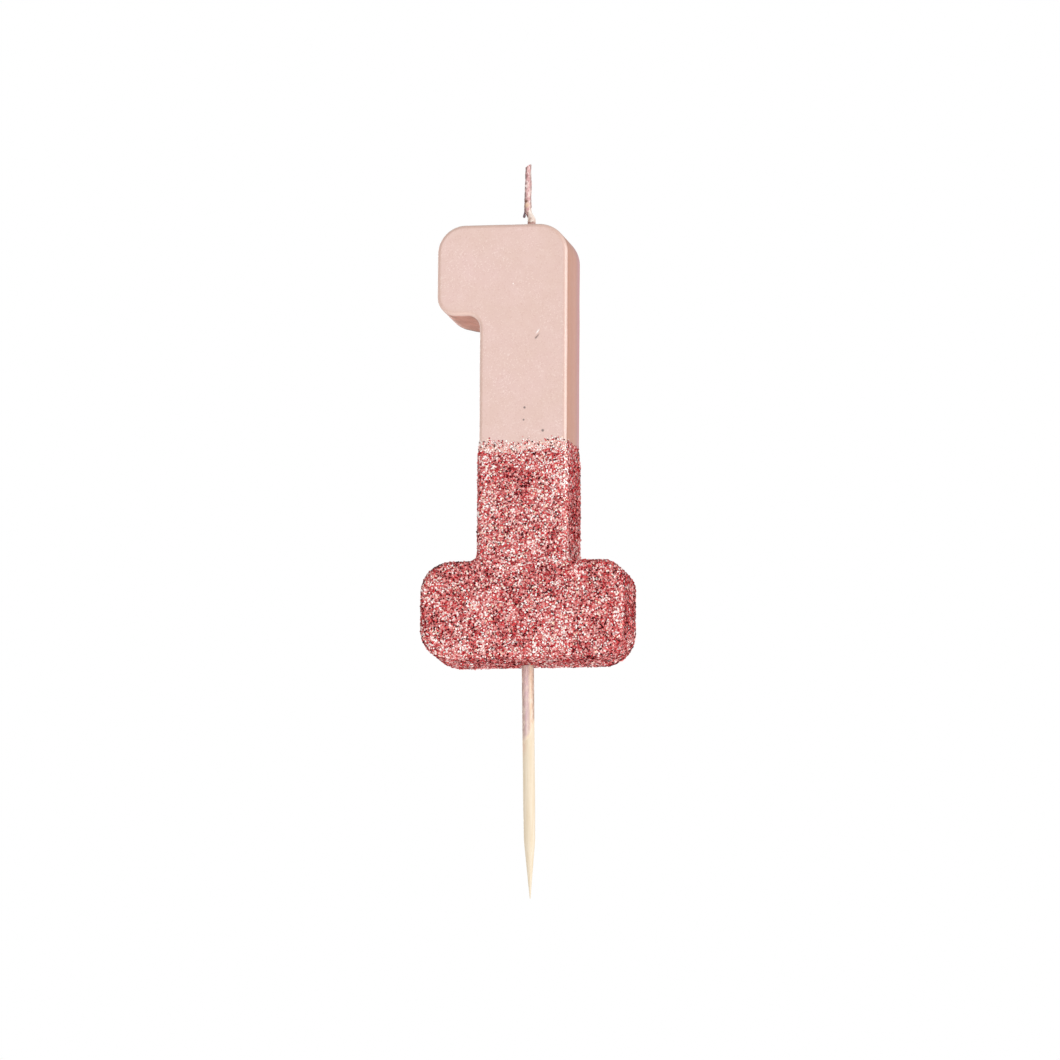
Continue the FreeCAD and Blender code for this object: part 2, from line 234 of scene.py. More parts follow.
def patch(rim, spots=(), hole=None, pitch=0.5):
    """Fills a flat rim with triangles. spots are (x, y, radius, pitch) where it is finer, and
    hole is a ring of points left open. Gives all points, rim first and hole next, and faces."""
    low, high = rim.min(0), rim.max(0)

    def grid(x0, x1, y0, y1, step):
        rows = np.arange(y0, y1, step * 0.866)
        cols = np.arange(x0, x1, step)
        return np.array([(c + (r % 2) * step / 2, y) for r, y in enumerate(rows) for c in cols])

    inner = grid(low[0], high[0], low[1], high[1], pitch)
    for x, y, radius, step in spots:
        far = np.hypot(inner[:, 0] - x, inner[:, 1] - y)
        inner = inner[far > radius]
        fine = grid(x - radius, x + radius, y - radius, y + radius, step)
        fine = fine[np.hypot(fine[:, 0] - x, fine[:, 1] - y) < radius - step * 0.6]
        inner = np.vstack([inner, fine])
    inner = inner[inside(inner, rim)]
    inner = inner[distance_to(inner, rim) > pitch * 0.55]
    fixed = rim if hole is None else np.vstack([rim, hole])
    if hole is not None:
        inner = inner[~inside(inner, hole)]
        inner = inner[distance_to(inner, hole) > 0.12]
    points = np.vstack([fixed, inner])
    loops = [[i, (i + 1) % len(rim)] for i in range(len(rim))]
    if hole is not None:
        n = len(hole)
        loops += [[len(rim) + i, len(rim) + (i + 1) % n] for i in range(n)]
    made = delaunay_2d_cdt([Vector(p) for p in points], loops, [list(range(len(rim)))], 1, 1e-7)
    back = [origins[0] for origins in made[3]]
    faces = [[back[i] for i in face] for face in made[2]]
    if hole is not None:
        middles = np.array([points[face].mean(0) for face in faces])
        faces = [face for face, drop in zip(faces, inside(middles, hole)) if not drop]
    return points, faces


def ring(x, y, radius, count=40):
    """Points round a hole."""
    angles = np.arange(count) / count * 2 * math.pi
    return np.stack([x + radius * np.cos(angles), y + radius * np.sin(angles)], axis=1)


# The specks on the front: x, z, radius. Then the dent's hollow and the lip over it, and
# the ovals that shade them: x, z, length, width, lean in degrees.
DARK_SPECKS = [(0.35, 42.9, 0.17), (0.2, 40.8, 0.14), (3.5, 38.9, 0.2)]
PALE_SPECKS = [(-1.7, 64.3, 0.08)]
DENT_HOLLOW = (2.49, 55.14, 0.62, 0.2, 51)
DENT_LIP = (2.59, 55.96, 0.5, 0.18, 54)
# painted shade in the dent's hollow and a painted highlight on its lip: strength, oval
DENT_SHADE_OVALS = [(1.0, (2.49, 55.14, 0.62, 0.14, 51)), (0.9, (2.24, 54.9, 0.25, 0.17, 60))]
DENT_HIGHLIGHT_OVALS = [(1.0, (2.57, 55.95, 0.52, 0.16, 54))]

# Where the front is meshed finely for these marks: x, z, radius, pitch.
FINE_SPOTS = [(2.45, 55.6, 1.3, 0.09)]
FINE_SPOTS += [(x, z, 0.6, 0.07) for x, z, _ in DARK_SPECKS + PALE_SPECKS]


class Surface:
    """The lacquered numeral's outer surface, from which every layer is grown."""

    def __init__(self, sole_radius, crown_radius):
        self.points, self.normals, self.edges, self.faces = [], [], [], []
        line, out = outline()
        steps = profile()
        count = len(line)
        for inset, y, outward, along, edge in steps:
            spot = line - out * inset
            self.add(spot[:, 0], y, spot[:, 1], out[:, 0] * outward, along, out[:, 1] * outward, edge)
        # the straight runs under the sole and over the crown, which have holes of their own
        flats = []
        for z, radius, x in (
            (NUMERAL_LOW[2], sole_radius, 0.0),
            (NUMERAL_HIGH[2], crown_radius, WICK_FOOT[0]),
        ):
            on = np.where((np.abs(line[:, 1] - z) < 1e-6) & (np.abs(line[:, 0] - x) < FLAT_REACH))[0]
            flats.append((on.min(), on.max(), z, radius, x))
        rows = [i for i, (inset, y, *_) in enumerate(steps) if inset == 0 and abs(y) < FLAT_REACH]
        top, bottom = min(rows), max(rows)
        for r in range(len(steps) - 1):
            for c in range(count):
                if any(top <= r < bottom and first <= c < last for first, last, *_ in flats):
                    continue
                a, b = r * count + c, r * count + (c + 1) % count
                self.faces.append([a, b, b + count, a + count])
        for first, last, z, radius, x in flats:
            walk = [top * count + c for c in range(first, last)]
            walk += [r * count + last for r in range(top, bottom)]
            walk += [bottom * count + c for c in range(last, first, -1)]
            walk += [r * count + first for r in range(bottom, top, -1)]
            rim = np.array([[self.points[i][0], self.points[i][1]] for i in walk])
            self.fill(walk, rim, ring(x, 0, radius), lambda p: (p[0], p[1], z))
        # the front and the back
        for row, y in ((0, -HALF_DEPTH), (len(steps) - 1, HALF_DEPTH)):
            walk = [row * count + c for c in range(count)]
            rim = np.array([[self.points[i][0], self.points[i][2]] for i in walk])
            spots = FINE_SPOTS if y < 0 else []
            self.fill(walk, rim, None, lambda p: (p[0], y, p[1]), spots)
        self.points, self.normals = np.array(self.points), np.array(self.normals)
        self.edges = np.array(self.edges)
        self.faces = self.outward(self.faces)

    def add(self, x, y, z, nx, ny, nz, edge):
        """Adds a row of points with their normals."""
        for values in np.broadcast(x, y, z, nx, ny, nz):
            self.points.append(values[:3])
            self.normals.append(values[3:])
            self.edges.append(edge)

    def fill(self, walk, rim, hole, place, spots=()):
        """Closes the flat inside a walk of points. place puts a flat point in space."""
        points, faces = patch(rim, spots, hole)
        start = len(self.points)
        normal = [round(v) for v in self.normals[walk[0]]]
        for p in points[len(rim):]:
            self.points.append(place(p))
            self.normals.append(normal)
            self.edges.append(0)
        index = walk + list(range(start, len(self.points)))
        self.faces += [[index[i] for i in face] for face in faces]

    def outward(self, faces):
        """Turns round every face that looks inward."""
        turned = []
        for face in faces:
            a, b, c = (self.points[i] for i in face[:3])
            if np.cross(b - a, c - a) @ self.normals[face[0]] < 0:
                face = face[::-1]
            turned.append(face)
        return turned

    def shell(self, name, outer, inner, keep=None):
        """A closed shell between two growths, each a number at every point. keep picks the
        faces, and the open rims are walled in."""
        faces = self.faces if keep is None else [f for f in self.faces if keep[f].all()]
        used = np.unique(np.concatenate([np.array(f) for f in faces]))
        index = np.full(len(self.points), -1)
        index[used] = np.arange(len(used))
        points, normals = self.points[used], self.normals[used]
        outside = points + normals * np.asarray(outer)[used, None]
        within = points + normals * np.asarray(inner)[used, None]
        n = len(used)
        out_faces = [[int(index[i]) for i in f] for f in faces]
        in_faces = [[i + n for i in f[::-1]] for f in out_faces]
        edges = {pair: None for f in out_faces for pair in zip(f, f[1:] + f[:1])}
        rims = [[b, a, a + n, b + n] for a, b in edges if (b, a) not in edges]
        piece = new_piece(name, np.vstack([outside, within]), out_faces + in_faces + rims)
        return piece, used


# ------------------------------------------------------------------------ materials
def rgba(value):
    """A colour with its alpha. Anything else stays as it is."""
    return (*value, 1) if isinstance(value, tuple) else value


class Nodes:
    """Short names for the shader nodes that the materials are made of."""

    def __init__(self, name, **values):
        self.material = bpy.data.materials.new(name)
        self.material.use_nodes = True
        self.tree = self.material.node_tree
        self.shader = self.tree.nodes["Principled BSDF"]
        for key, value in values.items():
            self.shader.inputs[key.replace("_", " ")].default_value = rgba(value)

    def node(self, kind, inputs=(), **settings):
        node = self.tree.nodes.new(kind)
        for key, value in settings.items():
            setattr(node, key, value)
        for key, value in dict(inputs).items():
            if isinstance(value, bpy.types.NodeSocket):
                self.tree.links.new(value, node.inputs[key])
            else:
                node.inputs[key].default_value = value
        return node

    def place(self, stretch=(1, 1, 1), attribute=None):
        """The point in millimetres, stretched along each axis."""
        if attribute:
            start, scale = self.node("ShaderNodeAttribute", attribute_name=attribute), 1
            start = start.outputs["Vector"]
        else:
            start, scale = self.node("ShaderNodeTexCoord").outputs["Object"], 1 / MM
        mapping = self.node("ShaderNodeMapping", {"Vector": start})
        mapping.inputs["Scale"].default_value = [scale * s for s in stretch]
        return mapping.outputs["Vector"]

    def noise(self, place, size, detail=2.0, roughness=0.5):
        values = {"Vector": place, "Scale": 1 / size, "Detail": detail, "Roughness": roughness}
        return self.node("ShaderNodeTexNoise", values).outputs["Fac"]

    def cells(self, place, size):
        """A number of its own for each cell."""
        cells = self.node("ShaderNodeTexVoronoi", {"Vector": place, "Scale": 1 / size})
        return self.node("ShaderNodeSeparateColor", {"Color": cells.outputs["Color"]}).outputs[0]

    def value(self, name):
        """A number that the mesh carries."""
        return self.node("ShaderNodeAttribute", attribute_name=name).outputs["Fac"]

    def ramp(self, factor, *stops):
        """A colour or a number from stops of (position, colour or number)."""
        node = self.node("ShaderNodeValToRGB", {"Fac": factor})
        elements = node.color_ramp.elements
        while len(elements) < len(stops):
            elements.new(0.5)
        for element, (at, colour) in zip(elements, stops):
            element.position = at
            element.color = (*colour, 1) if isinstance(colour, tuple) else (colour,) * 3 + (1,)
        return node.outputs["Color"]

    def mix(self, factor, a, b):
        inputs = {0: factor, 6: rgba(a), 7: rgba(b)}
        return self.node("ShaderNodeMix", inputs, data_type="RGBA").outputs[2]

    def math(self, operation, a, b):
        return self.node("ShaderNodeMath", {0: a, 1: b}, operation=operation).outputs[0]

    def times(self, a, b):
        return self.math("MULTIPLY", a, b)

    def bump(self, *heights):
        """Bumps on each other: (height socket, millimetres that 1 stands for)."""
        normal = None
        for height, size in heights:
            node = self.node("ShaderNodeBump", {"Height": height, "Distance": size * MM})
            if normal is not None:
                self.tree.links.new(normal, node.inputs["Normal"])
            normal = node.outputs["Normal"]
        self.link(normal, "Normal")

    def link(self, socket, name):
        self.tree.links.new(socket, self.shader.inputs[name])


def srgb(*channels):
    """An sRGB colour from 0 to 255 as the linear colour that a shader takes."""
    shares = (c / 255 for c in channels)
    return tuple(c / 12.92 if c <= 0.04045 else ((c + 0.055) / 1.055) ** 2.4 for c in shares)


def lacquer_material():
    """Rose pearl lacquer with fine pearl flecks, a painted highlight along its edges and painted
    shade on its rim.
    """
    m = Nodes("pearl_lacquer", IOR=1.9, Coat_Weight=0.5, Coat_Roughness=0.32)
    place = m.place()
    base = m.ramp(
        m.noise(place, 7, 3),
        (0.3, srgb(206, 169, 154)),
        (0.7, srgb(211, 173, 164)),
    )
    fleck = m.cells(place, 0.16)
    cloud = m.ramp(m.noise(place, 5, 2), (0.45, 0.0), (0.65, 1.0))
    light = m.times(m.math("GREATER_THAN", fleck, 0.9), m.math("ADD", m.times(cloud, 0.12), 0.1))
    dark = m.times(m.math("LESS_THAN", fleck, 0.08), 0.3)
    # the rim, browner than the front and streaked along its length: orange by the front, lilac
    # towards the back; partly the lacquer's own colour, partly painted shade and painted reflections
    across = m.node("ShaderNodeSeparateXYZ", {"Vector": place}).outputs["Y"]
    depths = {"Value": across, "From Min": -HALF_DEPTH, "From Max": HALF_DEPTH}
    across = m.node("ShaderNodeMapRange", depths).outputs[0]
    band = m.math("ADD", across, m.times(m.noise(m.place((0.2, 1, 0.06)), 1.5, 2), 0.12))
    rim = m.ramp(
        band,
        (0.06, srgb(181, 122, 93)),
        (0.2, srgb(196, 145, 124)),
        (0.45, srgb(192, 143, 126)),
        (0.62, srgb(198, 148, 131)),
        (0.85, srgb(188, 143, 135)),
        (0.95, srgb(196, 150, 160)),
        (1.05, srgb(194, 133, 118)),
    )
    # the flag's underside, painted darker and browner as painted shade, with a dark line along its
    # back
    mottle = m.ramp(m.noise(place, 2.4, 2), (0.35, 0.0), (0.65, 1.0))
    under = m.mix(mottle, srgb(176, 112, 88), srgb(204, 142, 122))
    rim = m.mix(m.value("under"), rim, under)
    back_line = m.times(m.value("under"), m.ramp(band, (0.965, 0.0), (1.0, 0.9)))
    rim = m.mix(back_line, rim, srgb(78, 56, 42))
    # dark lines painted just behind the front edge, at the flag's lower corner and in its throat
    dark_corner_lines = m.ramp(band, (0.165, 0.0), (0.19, 0.75), (0.21, 0.75), (0.245, 0.0))
    rim = m.mix(m.times(m.value("dark_corner_lines"), dark_corner_lines), rim, srgb(126, 80, 58))
    base = m.mix(m.value("rim"), base, rim)
    light = m.times(light, m.math("SUBTRACT", 1.0, m.times(m.value("rim"), 0.5)))
    colour = m.mix(light, base, srgb(255, 240, 232))
    colour = m.mix(dark, colour, srgb(188, 138, 121))
    streak = m.ramp(m.noise(m.place((0.15, 0.15, 1)), 0.7, 2), (0.6, 0.0), (0.75, 1.0))
    colour = m.mix(m.times(streak, 0.12), colour, srgb(196, 150, 134))
    # a painted highlight along the rounded edges, patchy
    edge_highlight = m.times(m.value("edge"), m.ramp(m.noise(place, 2.2, 2), (0.3, 0.55), (0.7, 1.0)))
    colour = m.mix(m.times(edge_highlight, 0.6), colour, srgb(234, 200, 184))
    # the specks' own colours, with painted shade in the dent's hollow and a painted highlight on its
    # lip
    colour = m.mix(m.value("specks_and_dent_shade"), colour, srgb(96, 66, 56))
    colour = m.mix(m.value("specks_and_dent_highlight"), colour, srgb(255, 250, 246))
    m.link(colour, "Base Color")
    m.link(m.ramp(m.noise(place, 1.6, 3), (0.3, 0.38), (0.7, 0.46)), "Roughness")
    m.link(m.math("SUBTRACT", 0.5, m.times(m.value("rim"), 0.42)), "Specular IOR Level")
    m.link(m.math("SUBTRACT", 0.5, m.times(m.value("rim"), 0.5)), "Coat Weight")
    m.bump((m.noise(place, 0.9, 2), 0.015), (fleck, 0.003))
    return m.material


def mottled_material(name, size, detail, dark, pale, bump, **values):
    """A material mottled between two colours. bump is its size, detail and height."""
    m = Nodes(name, **values)
    place = m.place()
    colour = m.ramp(m.noise(place, size, detail), (0.35, srgb(*dark)), (0.65, srgb(*pale)))
    m.link(colour, "Base Color")
    m.bump((m.noise(place, *bump[:2]), bump[2]))
    return m.material


def glue_material():
    """Craft glue, dried to a warm gloss over the lacquer."""
    return mottled_material(
        "dried_glue", 2, 3, (214, 158, 146), (231, 186, 174), (0.5, 3, 0.05),
        Roughness=0.22, Specular_IOR_Level=0.5,
    )


def bed_material():
    """The lower flakes, packed flat in the glue: many small facets, each with its own tone."""
    m = Nodes("glitter_bed", Metallic=0.1, Roughness=0.4)
    place = m.place()
    tone = m.cells(place, 0.3)
    colour = m.ramp(
        tone,
        (0.0, srgb(122, 36, 38)),
        (0.35, srgb(176, 66, 66)),
        (0.7, srgb(206, 106, 103)),
        (1.0, srgb(236, 168, 163)),
    )
    m.link(colour, "Base Color")
    m.bump((tone, 0.05), (m.noise(place, 0.4, 2), 0.04))
    return m.material


# The flakes' finishes: share, colour, gloss, roughness. Plain values, one piece each. The palest
# colours are partly painted glints and the darkest partly painted shade.
FLAKES = {
    "umber": (0.16, (72, 12, 18), 0.04, 0.5),
    "crimson": (0.16, (166, 30, 40), 0.06, 0.45),
    "ruby": (0.14, (214, 70, 72), 0.1, 0.42),
    "rose": (0.13, (226, 122, 120), 0.2, 0.38),
    "blush": (0.13, (240, 176, 172), 0.3, 0.34),
    "shell": (0.13, (250, 222, 216), 0.5, 0.34),
    "champagne": (0.04, (248, 218, 194), 0.5, 0.32),
    "silver": (0.11, (255, 248, 244), 0.5, 0.28),
}


def flake_material(name, colour, gloss, roughness):
    values = {"Base_Color": srgb(*colour), "Specular_IOR_Level": gloss, "Roughness": roughness}
    return Nodes(f"flake_{name}", Metallic=0.15, **values).material


def wood_material():
    """Bare birch: cream, with fine grain along the stick."""
    m = Nodes("birch", Roughness=0.62, Specular_IOR_Level=0.2)
    place = m.place((1, 1, 0.03))
    grain = m.noise(place, 0.28, 4, 0.65)
    colour = m.ramp(
        grain,
        (0.3, srgb(222, 204, 175)),
        (0.55, srgb(228, 213, 190)),
        (0.75, srgb(233, 220, 200)),
    )
    pore = m.ramp(m.noise(m.place((1, 1, 0.12)), 0.12, 2), (0.64, 0.0), (0.72, 1.0))
    colour = m.mix(m.times(pore, 0.2), colour, srgb(196, 162, 122))
    colour = m.mix(m.times(m.value("stain"), 0.6), colour, srgb(224, 190, 168))
    m.link(colour, "Base Color")
    m.link(m.ramp(grain, (0.3, 0.55), (0.7, 0.7)), "Roughness")
    m.bump((grain, 0.03))
    return m.material


def pick_paint_material():
    """The lacquer on the pick: thin, streaked along the grain, pearly lilac, with painted shade at
    its left and right edges and a painted gold highlight towards its right.
    """
    m = Nodes("pick_lacquer", Roughness=0.34, Specular_IOR_Level=0.35, Metallic=0.1)
    place = m.place((1, 1, 0.06))
    streak = m.noise(place, 0.42, 3, 0.6)
    # round the pick: partly the lacquer's own pearly lilac, partly painted shade at the left and
    # right edges and a painted cream highlight towards the right
    colour = m.ramp(
        m.math("ADD", m.value("around"), m.times(m.math("SUBTRACT", streak, 0.5), 0.35)),
        (0.0, srgb(178, 150, 140)),
        (0.16, srgb(198, 170, 162)),
        (0.36, srgb(214, 184, 188)),
        (0.56, srgb(210, 184, 174)),
        (0.72, srgb(226, 199, 172)),
        (0.88, srgb(200, 170, 148)),
        (1.0, srgb(168, 140, 122)),
    )
    colour = m.mix(m.value("thin"), colour, srgb(240, 220, 188))
    blotch = m.ramp(m.noise(m.place((1, 1, 0.3)), 0.36, 3), (0.45, 0.0), (0.62, 0.55))
    colour = m.mix(blotch, colour, srgb(236, 216, 200))
    # painted shade at the top, where the pick goes into the candle
    painted_shade = m.times(m.value("shade"), 0.5)
    colour = m.mix(painted_shade, colour, srgb(120, 92, 84))
    m.link(colour, "Base Color")
    m.link(m.ramp(streak, (0.3, 0.52), (0.7, 0.4)), "Roughness")
    m.bump((streak, 0.03), (m.noise(m.place(), 0.3, 2), 0.015))
    return m.material


def cotton_material():
    """The wick's braid, soaked in wax, with painted shade in its grooves."""
    m = Nodes("waxed_cotton", Roughness=0.5, Specular_IOR_Level=0.45)
    colour = m.mix(m.times(m.value("groove"), 0.8), srgb(249, 238, 228), srgb(206, 170, 148))
    thread = m.noise(m.place((1, 1, 0.3), "line"), 0.09, 3)
    colour = m.mix(m.ramp(thread, (0.35, 0.25), (0.6, 0.0)), colour, srgb(222, 192, 176))
    m.link(colour, "Base Color")
    m.bump((thread, 0.02))
    return m.material


def wick_paint_material():
    """The lacquer on the wick: pink on the braid's crowns, brown down in its grooves and darker at
    its left and right sides as painted shade, with painted glints.
    """
    m = Nodes("wick_lacquer", Roughness=0.36, Specular_IOR_Level=0.6)
    place = m.place((1, 1, 0.6), "line")
    tone = m.ramp(
        m.noise(place, 0.6, 3, 0.6),
        (0.34, srgb(192, 136, 138)),
        (0.5, srgb(226, 178, 176)),
        (0.64, srgb(246, 220, 212)),
    )
    # painted shade in the grooves
    groove = m.times(m.value("groove"), 0.4)
    colour = m.mix(groove, tone, srgb(176, 124, 120))
    glint = m.ramp(m.noise(place, 0.42, 2), (0.56, 0.0), (0.66, 0.8))
    colour = m.mix(glint, colour, srgb(255, 240, 236))
    # painted shade at the left and right sides
    colour = m.mix(m.times(m.value("left"), 0.9), colour, srgb(136, 106, 104))
    colour = m.mix(m.times(m.value("right"), 0.7), colour, srgb(158, 134, 124))
    colour = m.mix(m.value("amber"), colour, srgb(240, 204, 172))
    colour = m.mix(m.value("stain"), colour, srgb(112, 66, 30))
    m.link(colour, "Base Color")
    m.bump((m.noise(place, 0.14, 3), 0.04))
    return m.material


def drop_material():
    """The dried drop: thick enough to look mauve and dark."""
    return mottled_material(
        "dried_drop", 0.5, 2, (104, 84, 96), (150, 122, 130), (0.3, 2, 0.02),
        Roughness=0.3, Specular_IOR_Level=0.6,
    )


def collar_material():
    """Lacquer over wax round the wick's foot, reddish brown in patches."""
    return mottled_material(
        "collar_lacquer", 0.7, 3, (172, 128, 118), (224, 192, 182), (0.4, 2, 0.02),
        Roughness=0.4, Specular_IOR_Level=0.5,
    )


def wax_material():
    """The cast wax, which shows only inside the pick's socket."""
    return mottled_material(
        "paraffin", 3, 3, (238, 222, 208), (247, 234, 222), (0.7, 3, 0.05),
        Roughness=0.5, Subsurface_Weight=0.15, Subsurface_Scale=0.002,
    )


def give(piece, material):
    piece.data.materials.clear()
    piece.data.materials.append(material)


def fit(piece, body, slot, material, *nodes):
    """The piece rides on a body, stands for these nodes, and gets its material."""
    give(piece, material)
    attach(piece, body)
    if nodes:
        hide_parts(*nodes)


# ------------------------------------------------------------------ the numeral itself
def oval(points, x, z, long, wide, lean):
    """1 in the middle of an oval on the front face, and 0 outside it."""
    turn = math.radians(lean)
    dx, dz = points[:, 0] - x, points[:, 2] - z
    u = (dx * math.cos(turn) + dz * math.sin(turn)) / long
    v = (-dx * math.sin(turn) + dz * math.cos(turn)) / wide
    return np.exp(-2 * (u * u + v * v)) * (points[:, 1] < -HALF_DEPTH + 0.1)


surface = Surface(SHANK + PICK_SKIN + CLEARANCE, WICK_RADIUS)
points = surface.points
relief = 0.05 * noise_at(points, 12, 1) + 0.025 * noise_at(points, 4.5, 2)
relief += 0.06 * oval(points, *DENT_LIP) - 0.05 * oval(points, *DENT_HOLLOW)
# The flag's underside sags towards the throat at the back.
sag = smoothstep(-surface.normals[:, 2], 0.3, 0.9) * smoothstep(points[:, 0], -13.5, -8.5)
sag *= points[:, 2] > 50
relief += 0.8 * sag * smoothstep(points[:, 1], -5, 5) + 0.1 * sag * noise_at(points, 2.5, 3)
skin, used = surface.shell("numeral_skin", relief, relief - LACQUER)
# edge: the middle of each rounded edge, where the lacquer paints a highlight
add_attribute(skin, "edge", np.tile(surface.edges[used], 2))
# rim: the side faces, which the lacquer paints browner, partly as painted shade and painted
# reflection, and makes less glossy
rim = 1 - np.abs(surface.normals[used, 1])
add_attribute(skin, "rim", np.tile(smoothstep(rim, 0.75, 1), 2))
# under: the flag's underside, which the lacquer paints darker as painted shade
add_attribute(skin, "under", np.tile(smoothstep(-surface.normals[used, 2], 0.3, 0.95), 2))
# dark lines behind the front edge, at the flag's lower corner and in its throat
bends = smoothstep(-points[:, 0], 11.2, 12.6) + smoothstep(points[:, 0], -9.4, -8.4)
dark_corner_lines = bends * (points[:, 2] > FLAG_UNDER - 3) * smoothstep(-surface.normals[:, 2], 0.3, 0.6)
add_attribute(skin, "dark_corner_lines", np.tile(np.clip(dark_corner_lines, 0, 1)[used], 2))
shown = np.tile(points[used], (2, 1))
# the specks, with the dent's painted shade and painted highlight added
for name, specks, ovals in (
    ("specks_and_dent_shade", DARK_SPECKS, DENT_SHADE_OVALS),
    ("specks_and_dent_highlight", PALE_SPECKS, DENT_HIGHLIGHT_OVALS),
):
    spot = 0
    for x, z, radius in specks:
        far = np.hypot(shown[:, 0] - x, shown[:, 2] - z)
        spot = spot + smoothstep(-far, -radius * 1.5, -radius * 0.5)
    dent = sum(strength * oval(shown, *place) for strength, place in ovals)
    add_attribute(skin, name, np.clip(1.5 * spot * (shown[:, 1] < 0) + dent, 0, 1))
fit(skin, "candle", "pearl_lacquer", lacquer_material(), "lacquer_coat")

# How far the bed rises over the glue, how far each coat dips into the lacquer where it has
# ended, and how deep its inner face lies.
BED_RISE = 0.13
GLUE_SUNK, BED_SUNK = 0.04, 0.07
GLUE_FLOOR, BED_FLOOR = 0.07, 0.09
# Above this line, which wanders, the glitter thins out.
wander = 0.55 * noise_at(points * [1, 1, 0.2], 2.2, 5)
line = GLITTER_LINE - 0.75 + wander + 0.3 * noise_at(points * [1, 1, 0.3], 0.8, 6)
depth = line - points[:, 2]
low = points[:, 2] < GLITTER_LINE + 0.6
cover = smoothstep(depth, -0.5, 0.5)
# The glue climbs a little way down the pick, in a lip round its hole.
lip = 0.5 * smoothstep(-np.hypot(points[:, 0], points[:, 1]), -2.3, -1.2) * (points[:, 2] < 1)
glue_top = relief + (GLUE + GLUE_SUNK) * cover - GLUE_SUNK + lip
glue, _ = surface.shell("glue_skin", glue_top, relief - GLUE_FLOOR, low)
fit(glue, "candle", "glue", glue_material(), "glue_film")
cover = smoothstep(depth, 0.5, 2.0)
lumps = 0.04 * cover * noise_at(points, 0.9, 8)
bed_top = relief + (GLUE + BED_RISE + BED_SUNK) * cover - BED_SUNK + lumps + lip
bed, _ = surface.shell("glitter_bed", bed_top, relief - BED_FLOOR, low)
fit(bed, "candle", "glitter", bed_material(), "glitter_coat")


# ----------------------------------------------------------------------- the glitter
def flakes(count):
    """Places for flakes all over the bed: the spot on the lacquer, its normal, how high the
    bed is there, and how far the spot is below the glitter's line."""
    halves = [((f[0], f[1], f[2]), (f[0], f[2], f[-1]))[: len(f) - 2] for f in surface.faces]
    triangles = np.array([triangle for pair in halves for triangle in pair])
    corners = points[triangles]
    near = corners[:, :, 2].min(1) < GLITTER_LINE + 0.2
    triangles, corners = triangles[near], corners[near]
    first, second = corners[:, 1] - corners[:, 0], corners[:, 2] - corners[:, 0]
    area = np.linalg.norm(np.cross(first, second), axis=1)
    chosen = rng.choice(len(triangles), count, p=area / area.sum())
    share = rng.dirichlet((1, 1, 1), count)[:, :, None]
    triangle = triangles[chosen]
    spot = (points[triangle] * share).sum(1)
    normal = (surface.normals[triangle] * share).sum(1)
    normal /= np.linalg.norm(normal, axis=1, keepdims=True)
    top = (np.maximum(bed_top, glue_top)[triangle] * share[:, :, 0]).sum(1)
    below = (depth[triangle] * share[:, :, 0]).sum(1)
    return spot, normal, top, below


FLAKE_COUNT, FLAKE_SIZES = 64000, (0.12, 0.215)
FLAKE_CORNERS, FLAKE_DEPTH = 6, 0.07
STRAYS = 0.02  # the chance of a flake above the line
# How far flakes tilt: most lie nearly flat, and a share of them is loose.
FLAT_TILT, LOOSE_TILT, LOOSE_SHARE = 0.24, 0.6, 0.16


def flake_mesh(name, middle, normal, size):
    """Small hexagons, each closed underneath by a shallow point that is in the bed."""
    count = len(middle)
    side = np.cross(normal, rng.normal(size=(count, 3)))
    side /= np.linalg.norm(side, axis=1, keepdims=True)
    other = np.cross(normal, side)
    stretch = rng.uniform(0.75, 1.0, count)
    n = FLAKE_CORNERS
    verts = np.empty((count, n + 1, 3))
    for k, turn in enumerate(np.arange(n) / n * 2 * math.pi):
        arm = side * math.cos(turn) + other * math.sin(turn) * stretch[:, None]
        verts[:, k] = middle + size[:, None] * arm
    verts[:, n] = middle - normal * FLAKE_DEPTH
    loops = list(range(n))
    for k in range(n):
        loops += [(k + 1) % n, k, n]
    starts = [0] + [n + 3 * k for k in range(n)]
    mesh = bpy.data.meshes.new(name)
    mesh.vertices.add(count * (n + 1))
    mesh.vertices.foreach_set("co", (verts * MM).astype(np.float32).ravel())
    each = np.arange(count)[:, None]
    mesh.loops.add(count * len(loops))
    corners = each * (n + 1) + np.array(loops)
    mesh.loops.foreach_set("vertex_index", corners.astype(np.int32).ravel())
    mesh.polygons.add(count * (n + 1))
    firsts = each * len(loops) + np.array(starts)
    mesh.polygons.foreach_set("loop_start", firsts.astype(np.int32).ravel())
    mesh.update(calc_edges=True)
    mesh.validate()
    mesh.shade_flat()
    piece = bpy.data.objects.new(name, mesh)
    bpy.context.scene.collection.objects.link(piece)
    return piece


spot, normal, top, below = flakes(FLAKE_COUNT)
wanted = np.maximum(smoothstep(below, -0.85, -0.1), STRAYS * (below > -1.2))
kept = rng.random(FLAKE_COUNT) < wanted
spot, normal, top, below = (a[kept] for a in (spot, normal, top, below))
count = len(spot)
nudge = rng.normal(size=(count, 3))
tilt = np.where(rng.random(count) < LOOSE_SHARE, LOOSE_TILT, FLAT_TILT)
tilted = normal + nudge * tilt[:, None] * 0.8
tilted /= np.linalg.norm(tilted, axis=1, keepdims=True)
middle = spot + normal * (np.maximum(top, 0) + rng.uniform(0.0, FLAKE_DEPTH, count))[:, None]
size = rng.uniform(*FLAKE_SIZES, count)
# Which finish a flake has: chance, with lighter and darker clumps.
clump = 0.26 * noise_at(spot, 2.2, 11) + 0.24 * noise_at(spot, 6.5, 12)
# The flakes are paler along the front's right edge: a painted highlight.
x, z = spot[:, 0], spot[:, 2]
on_front = spot[:, 1] < -HALF_DEPTH + 1
right_edge = np.where(z > BASE_TOP, STEM_RIGHT, NUMERAL_HIGH[0])
clump += 0.13 * on_front * smoothstep(x, right_edge - 1.6, right_edge - 0.4)
